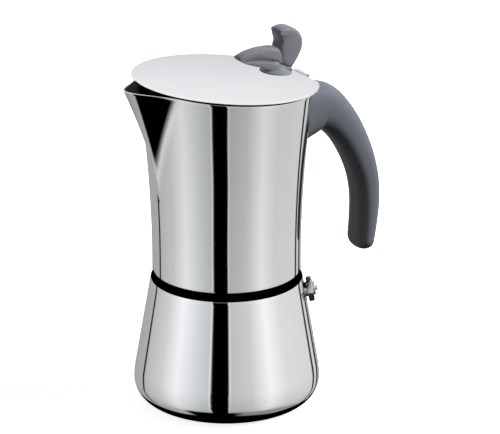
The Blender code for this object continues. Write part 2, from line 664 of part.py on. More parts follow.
def wall_slab(inner_gap, outer_gap, low, high, half_width, columns=6, rows=4):
    """A slab that follows the jug's wall on the handle side, between two gaps from the wall."""
    made = bmesh.new()
    grid = {}
    for row in range(rows + 1):
        height = low + (high - low) * row / rows
        for column in range(columns + 1):
            side = half_width * (2 * column / columns - 1)
            for layer, gap in enumerate((inner_gap, outer_gap)):
                reach = jug_radius(height) + gap
                grid[row, column, layer] = made.verts.new(
                    (math.sqrt(reach * reach - side * side), side, height))
    for row in range(rows):
        for column in range(columns):
            for layer in (0, 1):
                made.faces.new([grid[row, column, layer], grid[row + 1, column, layer],
                                grid[row + 1, column + 1, layer], grid[row, column + 1, layer]])
    for row in range(rows):
        for column in (0, columns):
            made.faces.new([grid[row, column, 0], grid[row + 1, column, 0],
                            grid[row + 1, column, 1], grid[row, column, 1]])
    for column in range(columns):
        for row in (0, rows):
            made.faces.new([grid[row, column, 0], grid[row, column + 1, 0],
                            grid[row, column + 1, 1], grid[row, column, 1]])
    return made


def make_bracket():
    low = BRACKET_TOP - BRACKET_HEIGHT
    plate = wall_slab(CLEARANCE, CLEARANCE + BRACKET_SHEET, low, BRACKET_TOP, BRACKET_WIDTH / 2)
    bracket = add("handle_bracket", plate, "brushed_steel")
    root = jug_radius(BRACKET_TOP) + CLEARANCE + BRACKET_SHEET / 2
    tongue_z = BRACKET_TOP - 0.5 * BRACKET_HEIGHT
    tongue = [(root - MM, tongue_z - TONGUE_THICKNESS / 2),
              (root + TONGUE_LENGTH, tongue_z - TONGUE_THICKNESS / 2),
              (root + TONGUE_LENGTH, tongue_z + TONGUE_THICKNESS / 2),
              (root - MM, tongue_z + TONGUE_THICKNESS / 2)]
    cutter("bracket_tongue", extruded(tongue, -TONGUE_WIDTH / 2, TONGUE_WIDTH / 2), bracket, "UNION")
    hinge = hinge_place()
    axis_x, axis_z = hinge.translation.x, hinge.translation.z
    inner = JUG_RIM_RADIUS + 1.2 * CLEARANCE
    outer = inner + EAR_SHEET
    middle = (inner + outer) / 2
    ear = [(inner, BRACKET_TOP - 2 * MM), (middle, BRACKET_TOP), (outer, BRACKET_TOP + MM),
           (outer, axis_z), (axis_x, axis_z), (inner, axis_z - 0.8 * KNUCKLE_RADIUS)]
    knuckle = HINGE_WIDTH / 3
    bore = PIN_RADIUS + PIN_PLAY
    across = Matrix.Rotation(math.radians(90), 4, "X")
    for side in (-1, 1):
        start = side * (knuckle / 2 + CLEARANCE / 2)
        end = side * (HINGE_WIDTH / 2)
        low_y, high_y = min(start, end), max(start, end)
        name = "near" if side < 0 else "far"
        cutter(name + "_ear", extruded(ear, low_y + 0.15 * MM, high_y - 0.15 * MM), bracket, "UNION")
        roll = turned([(0.0, -high_y), (KNUCKLE_RADIUS, -high_y), (KNUCKLE_RADIUS, -low_y),
                       (0.0, -low_y)], 16, hinge @ across)
        cutter(name + "_knuckle", roll, bracket, "UNION")
    hole = turned([(0.0, -HINGE_WIDTH), (bore, -HINGE_WIDTH), (bore, HINGE_WIDTH), (0.0, HINGE_WIDTH)],
                  12, hinge @ across)
    cutter("ear_bore", hole, bracket)
    cutter("tongue_hole", screw_hole(SCREW_RADIUS + CLEARANCE), bracket)
    return bracket


def handle_screw_place():
    root = jug_radius(BRACKET_TOP) + CLEARANCE + BRACKET_SHEET / 2
    tongue_z = BRACKET_TOP - 0.5 * BRACKET_HEIGHT
    return Matrix.Translation((root + TONGUE_LENGTH - 5 * MM, 0, tongue_z))


def screw_hole(radius):
    length = 7 * MM
    return turned([(0.0, -length), (radius, -length), (radius, length), (0.0, length)], 12,
                  handle_screw_place())


def grip_path():
    """Middle line of the grip as (x, z, root share), from inside its root to its free end."""
    root_z = BRACKET_TOP - 0.7 * MM - GRIP_ROOT / 2
    shares = [(-0.08, 0.0, 1.0), (0.12, -0.02, 0.79), (0.275, -0.025, 0.6), (0.46, 0.04, 0.37),
              (0.65, 0.158, 0.21), (0.795, 0.29, 0.11), (0.9, 0.42, 0.03), (0.97, 0.555, -0.05),
              (0.996, 0.7, -0.13), (0.98, 0.85, -0.22), (0.95, 0.98, -0.3)]
    drop = root_z - (RIM_Z - HANDLE_DROP)
    return [(JUG_RIM_RADIUS + HANDLE_REACH * a, root_z - drop * b, share) for a, b, share in shares]


def grip_ring(middle, ahead, depth, width, sides=20):
    """A rounded section across the path, in the plane square to its direction."""
    normal = Vector((-ahead[1], 0.0, ahead[0])).normalized()
    ring = []
    for side in range(sides):
        turn = math.tau * side / sides
        c, s = math.cos(turn), math.sin(turn)
        squarer = 0.8
        across = math.copysign(abs(c) ** squarer, c) * width / 2
        outwards = math.copysign(abs(s) ** squarer, s) * depth / 2
        ring.append(Vector((middle[0], across, middle[1])) + normal * outwards)
    return ring


def make_grip():
    path = catmull(grip_path(), 2)
    count = len(path)
    rings = []
    for index, point in enumerate(path):
        before, after = path[max(0, index - 1)], path[min(count - 1, index + 1)]
        ahead = (after[0] - before[0], min(0.0, after[1] - before[1]))
        depth = HANDLE_DEPTH + (GRIP_ROOT - HANDLE_DEPTH) * point[2]
        width = HANDLE_WIDTH + (GRIP_ROOT_WIDTH - HANDLE_WIDTH) * max(0.0, point[2])
        rings.append(grip_ring(point, ahead, depth, width))
    end, before = Vector((path[-1][0], 0, path[-1][1])), Vector((path[-2][0], 0, path[-2][1]))
    down = (end - before).normalized()
    for lift, share in ((0.45, 0.86), (0.8, 0.55)):
        spot = end + down * (HANDLE_DEPTH / 2 * lift)
        rings.append(grip_ring((spot.x, spot.z), (down.x, down.z), HANDLE_DEPTH * share,
                               HANDLE_WIDTH * share))
    grip = add("handle_grip", loft(rings), "soft_plastic")

    gap = 2 * CLEARANCE + BRACKET_SHEET
    low, high = BRACKET_TOP - 2 * BRACKET_HEIGHT, BRACKET_TOP + 0.5 * BRACKET_HEIGHT
    steps = 8
    wall = []
    for step in range(steps + 1):
        height = low + (high - low) * step / steps
        wall.append((jug_radius(min(height, RIM_Z)) + gap, height))
    cutter("grip_root_face", turned([(0.0, low)] + wall + [(0.0, high)], 2 * SEGMENTS), grip)
    root = jug_radius(BRACKET_TOP) + CLEARANCE + BRACKET_SHEET / 2
    tongue_z = BRACKET_TOP - 0.5 * BRACKET_HEIGHT
    room = TONGUE_THICKNESS / 2 + CLEARANCE
    pocket = [(root - 6 * MM, tongue_z - room), (root + TONGUE_LENGTH + CLEARANCE, tongue_z - room),
              (root + TONGUE_LENGTH + CLEARANCE, tongue_z + room), (root - 6 * MM, tongue_z + room)]
    side = TONGUE_WIDTH / 2 + CLEARANCE
    cutter("grip_pocket", extruded(pocket, -side, side), grip)
    hole = SCREW_RADIUS + CLEARANCE
    head = SCREW_HEAD_RADIUS + CLEARANCE
    shaft = turned([(0.0, -30 * MM), (head, -30 * MM), (head, -HEAD_DEPTH), (hole, -HEAD_DEPTH),
                    (hole, 6 * MM), (0.0, 6 * MM)], 16, handle_screw_place())
    cutter("grip_screw_hole", shaft, grip)
    return grip


def make_handle_screw():
    head = -HEAD_DEPTH - CLEARANCE
    outline = [(0.0, head - 2 * MM), (SCREW_HEAD_RADIUS - 0.4 * MM, head - 2 * MM),
               (SCREW_HEAD_RADIUS, head - 1.4 * MM), (SCREW_HEAD_RADIUS, head), (SCREW_RADIUS, head),
               (SCREW_RADIUS, 5.4 * MM), (0.0, 5.4 * MM)]
    add("handle_screw", turned(outline, 16, handle_screw_place()), "nickel")


# Knob: a thumb lever with a curled leaf towards the spout and a fin towards the handle

def knob_place():
    """Middle of the knob's foot, on the lid's top and square to the dome there."""
    fall = math.atan(2 * LID_DOME * KNOB_REACH / LID_RADIUS ** 2)
    seat = Matrix.Translation((KNOB_REACH, 0, dome(KNOB_REACH)))
    return rim_place() @ seat @ Matrix.Rotation(fall, 4, "Y")


def knob_side():
    """Side outline (x, h) above the plane of the lid's edge: fin, its hollow, the leaf and its underside."""
    shares = [(0.78, 0.13), (0.95, 0.17), (1.2, 0.3), (1.45, 0.44), (1.55, 0.6), (1.47, 0.77),
              (1.1, 0.92), (0.55, 1.0), (0.0, 0.99), (-0.3, 0.93), (-0.24, 0.82), (-0.12, 0.7),
              (-0.18, 0.6), (-1.06, 0.59), (-1.98, 0.54), (-2.68, 0.46), (-2.86, 0.385), (-2.62, 0.32),
              (-1.98, 0.27), (-1.2, 0.21), (-0.6, 0.15)]
    return [(KNOB_REACH + KNOB_FOOT_RADIUS * a, KNOB_HEIGHT * b) for a, b in shares]


def make_knob():
    hinge = hinge_place().translation
    edge = LID_GAP + LID_SHEET
    outline = [(x, edge + h) for x, h in knob_side()]
    heart = Vector((KNOB_REACH + 0.3 * KNOB_FOOT_RADIUS, 0, edge + 0.45 * KNOB_HEIGHT))
    rings = []
    for side, shrink in ((-1.0, 0.94), (-0.75, 1.0), (0.75, 1.0), (1.0, 0.94)):
        ring = []
        for x, h in outline:
            far = abs(x - heart.x) / (4.2 * KNOB_FOOT_RADIUS)
            point = heart + (Vector((x, 0, h)) - heart) * shrink
            ring.append((point.x, side * (1 - 0.6 * far) * KNOB_WIDTH / 2, point.z))
        rings.append(ring)
    knob = add("lid_knob", loft(rings, rim_place()), "gloss_plastic", hinge)
    foot = KNOB_FOOT_RADIUS
    seat = turned([(0.0, CLEARANCE), (foot - 0.5 * MM, CLEARANCE), (foot, 0.8 * MM), (0.9 * foot, 1.8 * MM),
                   (0.6 * foot, 3.6 * MM), (0.0, 3.6 * MM)], 24, knob_place())
    cutter("knob_foot", seat, knob, "UNION")
    hole = SCREW_RADIUS + CLEARANCE
    depth = 8 * MM
    cutter("knob_screw_hole", turned([(0.0, -depth), (hole, -depth), (hole, depth), (0.0, depth)], 12,
                                     knob_place()), knob)

    under = -LID_SHEET - CLEARANCE
    washer_low = under - 0.8 * MM
    washer = [(hole, washer_low), (WASHER_RADIUS, washer_low), (WASHER_RADIUS, under), (hole, under)]
    add("knob_washer", turned(washer, 20, knob_place()), "nickel", hinge)
    head = washer_low - CLEARANCE
    screw = [(0.0, head - 1.8 * MM), (2.2 * MM, head - 1.8 * MM), (SCREW_HEAD_RADIUS, head - 0.9 * MM),
             (SCREW_HEAD_RADIUS, head), (SCREW_RADIUS, head), (SCREW_RADIUS, depth - MM),
             (0.0, depth - MM)]
    add("knob_screw", turned(screw, 16, knob_place()), "nickel", hinge)


def main():
    clear_scene()
    make_boiler()
    make_neck()
    make_valve()
    make_funnel()
    make_seal()
    make_jug_shell()
    make_jug_inside()
    make_bracket()
    make_grip()
    make_handle_screw()
    make_lid()
    make_hinge()
    make_knob()


main()
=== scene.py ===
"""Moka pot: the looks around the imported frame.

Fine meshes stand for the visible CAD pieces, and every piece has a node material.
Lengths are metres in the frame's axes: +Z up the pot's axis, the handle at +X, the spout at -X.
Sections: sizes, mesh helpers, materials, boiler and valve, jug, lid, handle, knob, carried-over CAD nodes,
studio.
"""

import json
import math

import bmesh
import bpy
from mathutils import Matrix, Vector


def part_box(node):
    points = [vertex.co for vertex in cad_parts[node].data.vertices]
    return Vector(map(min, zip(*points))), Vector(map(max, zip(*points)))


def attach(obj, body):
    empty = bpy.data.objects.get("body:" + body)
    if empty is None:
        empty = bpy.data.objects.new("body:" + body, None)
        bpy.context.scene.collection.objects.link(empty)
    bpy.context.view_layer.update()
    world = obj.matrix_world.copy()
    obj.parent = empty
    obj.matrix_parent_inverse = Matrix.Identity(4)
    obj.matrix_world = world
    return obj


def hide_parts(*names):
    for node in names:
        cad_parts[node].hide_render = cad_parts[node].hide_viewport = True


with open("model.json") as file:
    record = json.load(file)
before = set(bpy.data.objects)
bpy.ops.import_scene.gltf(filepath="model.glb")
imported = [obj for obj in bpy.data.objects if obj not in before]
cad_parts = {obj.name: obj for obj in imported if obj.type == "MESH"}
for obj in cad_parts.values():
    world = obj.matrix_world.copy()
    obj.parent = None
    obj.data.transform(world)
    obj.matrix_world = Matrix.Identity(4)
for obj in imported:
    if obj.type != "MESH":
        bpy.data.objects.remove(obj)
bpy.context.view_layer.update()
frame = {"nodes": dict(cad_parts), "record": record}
nodes = frame["nodes"]

MM = 0.001
ROUND = 240  # facets round a turned piece

# ---------------------------------------------------------------- sizes
# The boiler's come from the frame; the others are the sizes that the frame was built with.

boiler_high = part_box("boiler_shell")[1]
BELLY_RADIUS = boiler_high.x
SHOULDER_Z = boiler_high.z
CORNER = 12.0 * MM  # round of the boiler's foot
SOFT_FOOT = 8.0 * MM  # height over which that round turns into the cone
TOP_RADIUS = 41.2 * MM
SHOULDER_ROUND = 2.6 * MM
SHOULDER_EDGE = 0.7 * MM  # the finished edge is crisper than the frame's
BOILER_WALL = 1.1 * MM
BOILER_FLOOR = 3.0 * MM

JUG_FOOT = 70.5 * MM  # height of its lower lip
WAIST_RADIUS = 39.8 * MM
RIM_RADIUS = 46.7 * MM
RIM_Z = JUG_FOOT + 106.8 * MM  # on the axis
RIM_SLOPE = math.radians(4.9)
SLOPE_TAN = math.tan(RIM_SLOPE)
JUG_WALL = 1.0 * MM
JUG_FOOT_ROUND = 4.0 * MM
JUG_LIP = -58.0  # degrees; where that round starts, with 0 level and outwards
LIP_ROUND = 0.22 * MM  # on the rim's edges
JUG_ROWS = 70
SPOUT_REACH = 14.2 * MM  # of the blunt nose beyond the rim
SPOUT_PEAK = 1.34  # its hollow flanks would meet at this many times that reach
SPOUT_CREASE = math.radians(31.0)  # each side of the spout, where its flanks leave the rim
CREASE_CURVE = 1.0  # how the creases close in on the fold
NOSE_SOFTNESS = 0.17  # share of the reach over which flank turns into nose
SPOUT_DROP = 58.6 * MM  # height of the fold below the rim
SPOUT_CURVE = 1.45  # how the fold leans out

LID_RADIUS = 49.6 * MM
LID_SHEET = 0.8 * MM
LID_DOME = 1.4 * MM
LID_GAP = 1.6 * MM  # between the rim's plane and the lid's edge
LID_SHIFT = -0.5 * MM  # of the lid's middle, towards the spout
LID_CHORD = 44.3 * MM  # from the pot's axis to the lid's straight edge at the hinge
LID_ROUND = 0.7 * MM  # on its edge

BRACKET_TOP = RIM_Z - SLOPE_TAN * RIM_RADIUS - 3.2 * MM
BRACKET_GAP = 2.2 * MM  # from the jug's wall to the grip's root
HANDLE_REACH = 41.2 * MM
HANDLE_END = RIM_Z - 103.7 * MM
HANDLE_DEPTH = 15.5 * MM
HANDLE_WIDTH = 20.0 * MM
GRIP_ROOT = 32.6 * MM  # height of its root at the bracket
GRIP_ROOT_WIDTH = 23.0 * MM
GRIP_SQUARE = 0.8  # 1 is an oval section, less is squarer
GRIP_END = 0.42 * HANDLE_DEPTH  # length of its rounded free end

VALVE_HEIGHT = 60.6 * MM
VALVE_BEARING = math.radians(-30.0)
VALVE_FLATS = 6.0 * MM  # from the valve's axis to each side of its hexagon
VALVE_CORNER = 6.93 * MM
VALVE_ROOT = 4.0 * MM
VALVE_SUNK = 2.0 * MM  # of the root, inside the wall
VALVE_BORE = 2.9 * MM
VALVE_STEM = 1.3 * MM

KNOB_REACH = 30.3 * MM  # from the pot's axis to its foot's middle
KNOB_FOOT = 8.75 * MM  # radius of its foot
KNOB_HEIGHT = 26.4 * MM
KNOB_WIDTH = 10.0 * MM
NARROW_SHARE = 0.3  # the most that an edge's round takes of a narrow place


# ---------------------------------------------------------------- mesh helpers

def make_object(name, mesh_data, finish, body, stands_for=(), sharp=40.0):
    """Turns a bmesh into a shown piece that rides on a body and stands for CAD nodes."""
    bmesh.ops.recalc_face_normals(mesh_data, faces=mesh_data.faces[:])
    mesh = bpy.data.meshes.new(name)
    mesh_data.to_mesh(mesh)
    mesh_data.free()
    mesh.shade_smooth()
    mesh.set_sharp_from_angle(angle=math.radians(sharp))
    mesh.materials.append(finish)
    made = bpy.data.objects.new(name, mesh)
    bpy.context.scene.collection.objects.link(made)
    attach(made, body)
    if stands_for:
        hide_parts(*stands_for)
    return made


def bridge(mesh_data, lower, upper):
    """Faces between two closed rings of vertices, either of which may be one point."""
    count = max(len(lower), len(upper))
    for step in range(count):
        after = (step + 1) % count
        corners = [lower[step % len(lower)], lower[after % len(lower)],
                   upper[after % len(upper)], upper[step % len(upper)]]
        unique = list(dict.fromkeys(corners))
        if len(unique) > 2:
            mesh_data.faces.new(unique)


def skin(rings, closed=False, capped=True, place=Matrix()):
    """A bmesh through rings of points. Closed joins the last ring to the first."""
    made = bmesh.new()
    loops = [[made.verts.new(point) for point in ring] for ring in rings]
    pairs = list(zip(loops, loops[1:]))
    if closed:
        pairs.append((loops[-1], loops[0]))
    for lower, upper in pairs:
        bridge(made, lower, upper)
    if capped and not closed:
        for loop in (loops[0], loops[-1]):
            if len(loop) > 2:
                made.faces.new(loop)
    made.transform(place)
    return made


def turned(profile, segments=ROUND, place=Matrix()):
    """A body turned from an outline of (radius, height) points; one that ends on the axis closes there."""
    rings = []
    for radius, height in profile:
        if radius < 1e-9:
            rings.append([(0.0, 0.0, height)])
            continue
        turns = [math.tau * step / segments for step in range(segments)]
        rings.append([(radius * math.cos(turn), radius * math.sin(turn), height) for turn in turns])
    return skin(rings, closed=len(rings[0]) > 1, place=place)


def arc(centre, radius, start, end, steps):
    """Points on an arc, in degrees from the first axis, ends included."""
    points = []
    for step in range(steps + 1):
        turn = math.radians(start + (end - start) * step / steps)
        points.append((centre[0] + radius * math.cos(turn), centre[1] + radius * math.sin(turn)))
    return points


def catmull(points, steps):
    """A smooth line through the points (any number of coordinates), ends included."""
    ends = [points[0]] + list(points) + [points[-1]]
    line = []
    for index in range(len(points) - 1):
        a, b, c, d = ends[index:index + 4]
        for step in range(steps):
            t = step / steps
            line.append(tuple(0.5 * (2 * q + (r - p) * t + (2 * p - 5 * q + 4 * r - s) * t * t
                                     + (3 * q - p - 3 * r + s) * t ** 3)
                              for p, q, r, s in zip(a, b, c, d)))
    return line + [tuple(points[-1])]


# ---------------------------------------------------------------- materials

class Finish:
    """A Principled material whose nodes are added one by one."""

    def __init__(self, name, colour, metallic, roughness):
        self.material = bpy.data.materials.new(name)
        self.material.use_nodes = True
        self.tree = self.material.node_tree
        self.shader = self.tree.nodes["Principled BSDF"]
        self.set("Base Color", (*colour, 1.0))
        self.set("Metallic", metallic)
        self.set("Roughness", roughness)
        self.where = self.node("ShaderNodeTexCoord").outputs["Object"]

    def set(self, socket, value):
        self.shader.inputs[socket].default_value = value

    def node(self, kind, **settings):
        made = self.tree.nodes.new(kind)
        for key, value in settings.items():
            setattr(made, key, value)
        return made

    def link(self, start, end):
        self.tree.links.new(start, end)

    def polar(self, centre, density):
        """Coordinates of (distance from an upright axis, height, 0), for rings and brushing round it."""
        shift = self.node("ShaderNodeVectorMath", operation="SUBTRACT")
        shift.inputs[1].default_value = centre
        self.link(self.where, shift.inputs[0])
        flat = self.node("ShaderNodeVectorMath", operation="MULTIPLY")
        flat.inputs[1].default_value = (1.0, 1.0, 0.0)
        self.link(shift.outputs[0], flat.inputs[0])
        length = self.node("ShaderNodeVectorMath", operation="LENGTH")
        self.link(flat.outputs[0], length.inputs[0])
        apart = self.node("ShaderNodeSeparateXYZ")
        self.link(shift.outputs[0], apart.inputs[0])
        joined = self.node("ShaderNodeCombineXYZ")
        self.link(length.outputs["Value"], joined.inputs["X"])
        self.link(apart.outputs["Z"], joined.inputs["Y"])
        sized = self.node("ShaderNodeVectorMath", operation="SCALE")
        sized.inputs["Scale"].default_value = density
        self.link(joined.outputs[0], sized.inputs[0])
        return sized.outputs[0]

    def noise(self, vector, scale, detail=4.0, rough=0.6):
        made = self.node("ShaderNodeTexNoise")
        made.inputs["Scale"].default_value = scale
        made.inputs["Detail"].default_value = detail
        made.inputs["Roughness"].default_value = rough
        self.link(vector, made.inputs["Vector"])
        return made.outputs["Fac"]

    def vary(self, socket, factor, low, high):
        """Drives a number on the shader from a 0..1 factor."""
        spread = self.node("ShaderNodeMapRange")
        spread.inputs["To Min"].default_value = low
        spread.inputs["To Max"].default_value = high
        self.link(factor, spread.inputs["Value"])
        self.link(spread.outputs["Result"], self.shader.inputs[socket])

    def tint(self, factor, first, second):
        """Drives the base colour between two colours."""
        ramp = self.node("ShaderNodeValToRGB")
        ramp.color_ramp.elements[0].position = 0.3
        ramp.color_ramp.elements[0].color = (*first, 1.0)
        ramp.color_ramp.elements[1].position = 0.7
        ramp.color_ramp.elements[1].color = (*second, 1.0)
        self.link(factor, ramp.inputs["Fac"])
        self.link(ramp.outputs["Color"], self.shader.inputs["Base Color"])

    def bump(self, factor, strength, distance):
        made = self.node("ShaderNodeBump")
        made.inputs["Strength"].default_value = strength
        made.inputs["Distance"].default_value = distance
        self.link(factor, made.inputs["Height"])
        self.link(made.outputs["Normal"], self.shader.inputs["Normal"])


def polished_steel():
    made = Finish("polished_steel", (0.86, 0.865, 0.87), 1.0, 0.045)
    smudge = made.noise(made.where, 22.0, 3.0)
    made.vary("Roughness", smudge, 0.03, 0.06)
    made.tint(made.noise(made.where, 9.0), (0.85, 0.86, 0.87), (0.88, 0.88, 0.88))
    return made.material


def satin_steel():
    made = Finish("satin_steel", (0.9, 0.9, 0.91), 1.0, 0.3)
    brushing = made.noise(made.polar((LID_SHIFT, 0.0, 0.0), 1.0), 2600.0, 2.0)
    made.vary("Roughness", brushing, 0.26, 0.36)
    made.tint(made.noise(made.where, 14.0), (0.88, 0.88, 0.9), (0.92, 0.92, 0.93))
    made.bump(brushing, 0.04, 0.0002)
    return made.material


def brushed_steel(name="brushed_steel", rough=0.28, level=0.72):
    made = Finish(name, (level, level, level), 1.0, rough)
    brushing = made.noise(made.polar((0.0, 0.0, 0.0), 1.0), 1800.0, 3.0)
    made.vary("Roughness", brushing, rough - 0.06, rough + 0.08)
    dull, bright = level - 0.04, level + 0.04
    made.tint(made.noise(made.where, 60.0), (dull, dull, dull * 1.01), (bright, bright, bright * 1.01))
    made.bump(brushing, 0.08, 0.0002)
    return made.material


def nickel():
    made = Finish("nickel", (0.62, 0.60, 0.56), 1.0, 0.24)
    worn = made.noise(made.where, 420.0, 5.0)
    made.vary("Roughness", worn, 0.16, 0.36)
    made.tint(made.noise(made.where, 240.0), (0.56, 0.545, 0.5), (0.68, 0.665, 0.63))
    made.bump(worn, 0.05, 0.0002)
    return made.material


def soft_plastic():
    made = Finish("soft_plastic", (0.05, 0.053, 0.06), 0.0, 0.42)
    cloud = made.noise(made.where, 40.0, 3.0)
    made.vary("Roughness", cloud, 0.38, 0.46)
    made.tint(cloud, (0.045, 0.048, 0.054), (0.055, 0.058, 0.066))
    made.bump(made.noise(made.where, 2400.0, 2.0), 0.08, 0.0001)
    made.set("IOR", 1.45)
    return made.material


def gloss_plastic():
    made = Finish("gloss_plastic", (0.07, 0.07, 0.078), 0.0, 0.3)
    cloud = made.noise(made.where, 55.0, 3.0)
    made.vary("Roughness", cloud, 0.26, 0.36)
    made.tint(cloud, (0.066, 0.066, 0.074), (0.076, 0.076, 0.086))
    made.bump(made.noise(made.where, 1500.0, 2.0), 0.05, 0.0001)
    return made.material


def seal_rubber():
    made = Finish("seal_rubber", (0.72, 0.71, 0.68), 0.0, 0.55)
    cloud = made.noise(made.where, 130.0, 4.0)
    made.vary("Roughness", cloud, 0.48, 0.62)
    made.tint(cloud, (0.66, 0.65, 0.61), (0.76, 0.75, 0.72))
    made.bump(made.noise(made.where, 900.0, 2.0), 0.06, 0.0001)
    return made.material


def spring_steel():
    made = Finish("spring_steel", (0.45, 0.45, 0.46), 1.0, 0.3)
    cloud = made.noise(made.where, 500.0, 3.0)
    made.vary("Roughness", cloud, 0.24, 0.4)
    made.tint(cloud, (0.4, 0.4, 0.41), (0.5, 0.5, 0.51))
    return made.material


POLISHED = polished_steel()
SATIN = satin_steel()
BRUSHED = brushed_steel()
# The jug's inside: a rougher, much darker copy of the brushed steel; the darkness is painted shade from the
# lid.
INSIDE_PAINTED_SHADE = brushed_steel("inside_steel_painted_shade", 0.34, 0.22)
NICKEL = nickel()
SOFT = soft_plastic()
GLOSS = gloss_plastic()
RUBBER = seal_rubber()
SPRING = spring_steel()
FINISHES = {"polished_steel": POLISHED, "satin_steel": SATIN, "brushed_steel": BRUSHED,
            "nickel": NICKEL, "soft_plastic": SOFT, "gloss_plastic": GLOSS,
            "seal_rubber": RUBBER, "spring_steel": SPRING}


# ---------------------------------------------------------------- boiler

CONE_HEIGHT = SHOULDER_Z - SHOULDER_ROUND - CORNER
CONE_SLOPE = (BELLY_RADIUS - TOP_RADIUS) / (CONE_HEIGHT - SOFT_FOOT / 2)


def boiler_cone(height):
    """Outer radius above the corner: a cone with a soft foot."""
    lift = height - CORNER
    if lift < SOFT_FOOT:
        return BELLY_RADIUS - CONE_SLOPE * lift * lift / (2 * SOFT_FOOT)
    return BELLY_RADIUS - CONE_SLOPE * (lift - SOFT_FOOT / 2)


def make_boiler():
    centre = BELLY_RADIUS - CORNER
    shoulder = SHOULDER_Z - SHOULDER_ROUND
    outer = arc((centre, CORNER), CORNER, -90.0, 0.0, 24)
    steps = 26
    heights = [CORNER + (shoulder - CORNER) * (step / steps) ** 1.5 for step in range(1, steps)]
    outer += [(boiler_cone(z), z) for z in heights]
    edge = boiler_cone(shoulder) - SHOULDER_ROUND
    lean = math.degrees(math.atan(CONE_SLOPE))
    brow = SHOULDER_Z - SHOULDER_EDGE
    outer.append((boiler_cone(shoulder), shoulder))
    outer += arc((boiler_cone(brow) - SHOULDER_EDGE, brow), SHOULDER_EDGE, lean, 90.0, 6)
    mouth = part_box("boiler_neck")[1].x - 1.2 * MM
    under = SHOULDER_Z - BOILER_WALL
    inner = [(mouth, SHOULDER_Z), (mouth, under), (edge, under)]
    inner += [(boiler_cone(z) - BOILER_WALL, z) for z in (shoulder, *heights[::-5], CORNER)]
    inner += arc((centre, CORNER), CORNER - BOILER_FLOOR, 0.0, -90.0, 8)[1:]
    outline = [(0.0, 0.0)] + outer + inner + [(0.0, BOILER_FLOOR)]
    make_object("boiler_body", turned(outline), POLISHED, "boiler", ["boiler_shell"])


def valve_place():
    radius = boiler_cone(VALVE_HEIGHT)
    out = Vector((math.cos(VALVE_BEARING), math.sin(VALVE_BEARING), 0.0))
    slope = math.atan(CONE_SLOPE)
    normal = out * math.cos(slope) + Vector((0, 0, math.sin(slope)))
    seat = out * radius + Vector((0, 0, VALVE_HEIGHT))
    return Matrix.Translation(seat) @ normal.to_track_quat("Z", "X").to_matrix().to_4x4()


def hex_radius(turn, flats):
    """Distance from the axis to a hexagon's side at this angle."""
    within = math.remainder(turn, math.tau / 6)
    return flats / math.cos(within)


def hexagon_rings(levels, segments=120):
    """Rings (flats, limit, height): a hexagon's side, kept inside a circle, as a turned chamfer cuts it."""
    rings = []
    for flats, limit, height in levels:
        ring = []
        for step in range(segments):
            turn = math.tau * step / segments
            reach = min(hex_radius(turn, flats), limit)
            ring.append((reach * math.cos(turn), reach * math.sin(turn), height))
        rings.append(ring)
    return rings


def make_valve():
    place = valve_place()
    start, end, brow = 1.0 * MM, 4.2 * MM, 5.3 * MM
    collar = 3.7 * MM
    chamfer = [(VALVE_FLATS, 0.0), (VALVE_CORNER - 0.3 * MM, 0.25 * MM), (VALVE_CORNER, 0.6 * MM)]
    levels = [(VALVE_ROOT, VALVE_ROOT, -VALVE_SUNK), (VALVE_ROOT, VALVE_ROOT, start)]
    levels += [(VALVE_FLATS, limit, start + rise) for limit, rise in chamfer]
    levels += [(VALVE_FLATS, limit, end - rise) for limit, rise in reversed(chamfer)]
    levels += [(radius, radius, height) for radius, height in (
        (collar + 0.5 * MM, end), (collar, end + 0.15 * MM), (collar, brow - 0.2 * MM),
        (collar - 0.2 * MM, brow), (VALVE_BORE, brow), (VALVE_BORE, -VALVE_SUNK))]
    make_object("valve_hexagon", skin(hexagon_rings(levels), closed=True, place=place), NICKEL, "boiler",
                ["valve_body"], 25.0)
    inner_end, tip, tip_round = -6.0 * MM, end + 2.5 * MM, 0.5 * MM
    pin = [(0.0, inner_end), (VALVE_STEM, inner_end), (VALVE_STEM, tip - tip_round)]
    pin += arc((VALVE_STEM - tip_round, tip - tip_round), tip_round, 0.0, 90.0, 5)[1:] + [(0.0, tip)]
    make_object("valve_stem_pin", turned(pin, 48, place), NICKEL, "valve_stem", ["valve_pin"])


# ---------------------------------------------------------------- jug

def jug_radius(height):
    """Radius of the round wall, which flares from the waist to the rim."""
    waist = JUG_FOOT + 9.0 * MM
    share = max(0.0, height - waist) / (RIM_Z - waist)
    return WAIST_RADIUS + (RIM_RADIUS - WAIST_RADIUS) * share * share


def jug_reach(height, bearing, inset=0.0):
    """Distance of the wall from the axis: round, with hollow flanks up to the spout's blunt nose."""
    radius = jug_radius(height) - inset
    base = RIM_Z - SPOUT_DROP
    top = RIM_Z + SLOPE_TAN * (RIM_RADIUS + SPOUT_REACH)
    share = (height - base) / (top - base)
    if share <= 0.0:
        return radius
    growth = SPOUT_REACH * share ** SPOUT_CURVE
    off_axis = abs(math.remainder(bearing - math.pi, math.tau))
    nearness = max(0.0, 1 - off_axis / (SPOUT_CREASE * share ** CREASE_CURVE))
    flank = SPOUT_PEAK * growth * nearness ** 2
    soft = NOSE_SOFTNESS * growth + 0.01 * MM
    joined = -soft * math.log(math.exp(-flank / soft) + math.exp(-growth / soft))
    return radius + max(0.0, joined)


def rim_height(bearing, inset=0.0):
    """Height at which the wall meets the sloping rim, found by going back and forth."""
    height = RIM_Z
    for _ in range(6):
        height = RIM_Z - SLOPE_TAN * jug_reach(height, bearing, inset) * math.cos(bearing)
    return height


def jug_turns():
    """Bearings round the jug, closer together towards the spout's fold."""
    half = 150
    turns = []
    for step in range(-half, half):
        share = step / half
        turns.append(math.pi + math.pi * math.copysign(abs(share) ** 1.6, share))
    return turns


